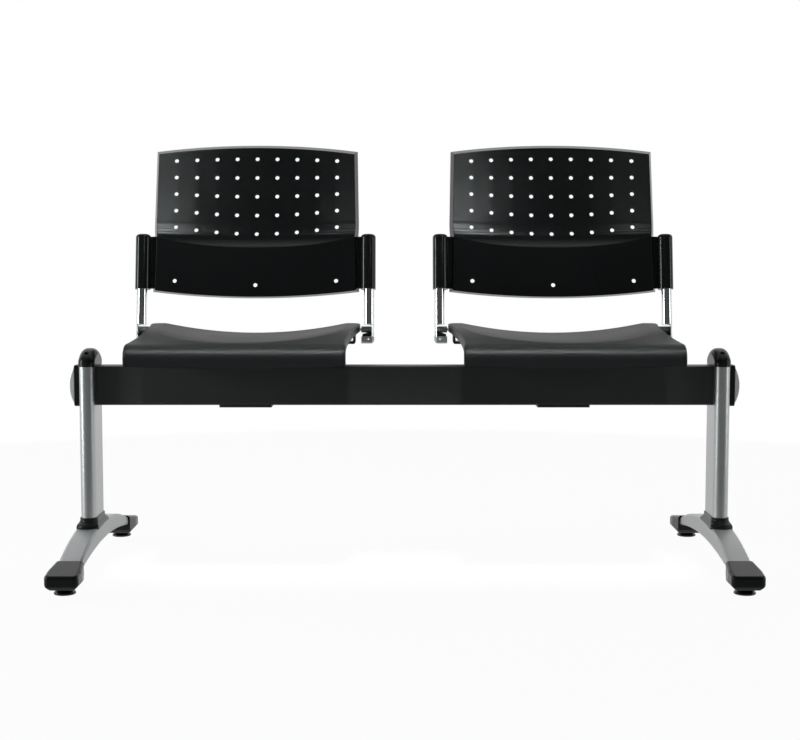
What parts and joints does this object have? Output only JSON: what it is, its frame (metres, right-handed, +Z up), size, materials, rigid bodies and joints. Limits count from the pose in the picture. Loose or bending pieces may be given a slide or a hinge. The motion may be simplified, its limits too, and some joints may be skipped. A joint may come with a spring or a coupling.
{
  "type": "tandem beam bench",
  "caption": "Tandem waiting-room bench: black perforated plastic seats and leaning backs on chromed posts, on a black steel beam with silver columns and arched feet.",
  "frame": {"origin": "middle of the bench, on the floor under the glides", "axes": "+X along the beam to the sitter's left, which is the viewer's right; +Y to the rear; +Z up"},
  "size_m": [1.305, 0.622, 0.8423],
  "materials": {
    "seat_plastic": "satin charcoal moulding, fine grain",
    "back_plastic": "near-black semi-gloss moulding",
    "black_moulding": "black semi-gloss moulding",
    "glide_plastic": "black gloss moulding",
    "black_steel": "matt black powder coat",
    "silver_column": "satin silver extrusion",
    "silver_foot": "satin silver paint on casting",
    "silver_cover": "light satin silver",
    "post_chrome": "polished chrome",
    "pin_grey": "grey sleeve",
    "buffer_rubber": "matt black rubber",
    "plug_aluminium": "bare sawn aluminium",
    "insert_brass": "turned brass",
    "stem_steel": "bright zinc",
    "zinc_steel": "bright zinc"
  },
  "bodies": {
    "bench": {"back_screws": "zinc_steel", "beam": "black_steel", "beam_bolts": "zinc_steel", "beam_end_cover_left": "silver_cover", "beam_end_cover_right": "silver_cover", "beam_end_frame_left": "black_moulding", "beam_end_frame_right": "black_moulding", "clamp_bolts": "zinc_steel", "clamp_spacers": "zinc_steel", "column_cap_left": "black_moulding", "column_cap_right": "black_moulding", "column_cap_screws": "zinc_steel", "column_collar_left": "black_moulding", "column_collar_right": "black_moulding", "column_left": "silver_column", "column_plug_left": "plug_aluminium", "column_plug_right": "plug_aluminium", "column_right": "silver_column", "foot_bolts": "zinc_steel", "foot_cap_left_front": "black_moulding", "foot_cap_left_rear": "black_moulding", "foot_cap_right_front": "black_moulding", "foot_cap_right_rear": "black_moulding", "foot_left": "silver_foot", "foot_right": "silver_foot", "glide_inserts": "insert_brass", "left_back_shell": "back_plastic", "left_clamp_plate": "black_steel", "left_cross_bracket": "black_steel", "left_post_buffers": "buffer_rubber", "left_post_left": "post_chrome", "left_post_pins": "pin_grey", "left_post_right": "post_chrome", "left_rail_left": "black_steel", "left_rail_right": "black_steel", "left_saddle": "black_steel", "left_seat_shell": "seat_plastic", "post_bolts": "zinc_steel", "right_back_shell": "back_plastic", "right_clamp_plate": "black_steel", "right_cross_bracket": "black_steel", "right_post_buffers": "buffer_rubber", "right_post_left": "post_chrome", "right_post_pins": "pin_grey", "right_post_right": "post_chrome", "right_rail_left": "black_steel", "right_rail_right": "black_steel", "right_saddle": "black_steel", "right_seat_shell": "seat_plastic", "seat_screws": "zinc_steel"},
    "pad_left_front": {"glide_pad_left_front": "glide_plastic"},
    "stem_left_front": {"glide_stem_left_front": "stem_steel"},
    "pad_left_rear": {"glide_pad_left_rear": "glide_plastic"},
    "stem_left_rear": {"glide_stem_left_rear": "stem_steel"},
    "pad_right_front": {"glide_pad_right_front": "glide_plastic"},
    "stem_right_front": {"glide_stem_right_front": "stem_steel"},
    "pad_right_rear": {"glide_pad_right_rear": "glide_plastic"},
    "stem_right_rear": {"glide_stem_right_rear": "stem_steel"}
  },
  "joints": [
    {"name": "left_front_glide_travel", "type": "slide", "parent": "bench", "child": "pad_left_front", "axis": [0, 0, 1], "range_m": [-0.01, 0.0027]},
    {"name": "left_front_glide_turn", "type": "hinge", "parent": "pad_left_front", "child": "stem_left_front", "pos_m": [-0.616, -0.275, 0.02], "axis": [0, 0, 1], "range_deg": [-2600, 850]},
    {"name": "left_rear_glide_travel", "type": "slide", "parent": "bench", "child": "pad_left_rear", "axis": [0, 0, 1], "range_m": [-0.01, 0.0027]},
    {"name": "left_rear_glide_turn", "type": "hinge", "parent": "pad_left_rear", "child": "stem_left_rear", "pos_m": [-0.616, 0.275, 0.02], "axis": [0, 0, 1], "range_deg": [-2600, 850]},
    {"name": "right_front_glide_travel", "type": "slide", "parent": "bench", "child": "pad_right_front", "axis": [0, 0, 1], "range_m": [-0.01, 0.0027]},
    {"name": "right_front_glide_turn", "type": "hinge", "parent": "pad_right_front", "child": "stem_right_front", "pos_m": [0.616, -0.275, 0.02], "axis": [0, 0, 1], "range_deg": [-2600, 850]},
    {"name": "right_rear_glide_travel", "type": "slide", "parent": "bench", "child": "pad_right_rear", "axis": [0, 0, 1], "range_m": [-0.01, 0.0027]},
    {"name": "right_rear_glide_turn", "type": "hinge", "parent": "pad_right_rear", "child": "stem_right_rear", "pos_m": [0.616, 0.275, 0.02], "axis": [0, 0, 1], "range_deg": [-2600, 850]}
  ],
  "couplings": [
    {"joint": "left_front_glide_turn", "follows": "left_front_glide_travel", "rad_per_m": 4188.8},
    {"joint": "left_rear_glide_turn", "follows": "left_rear_glide_travel", "rad_per_m": 4188.8},
    {"joint": "right_front_glide_turn", "follows": "right_front_glide_travel", "rad_per_m": 4188.8},
    {"joint": "right_rear_glide_turn", "follows": "right_rear_glide_travel", "rad_per_m": 4188.8}
  ]
}
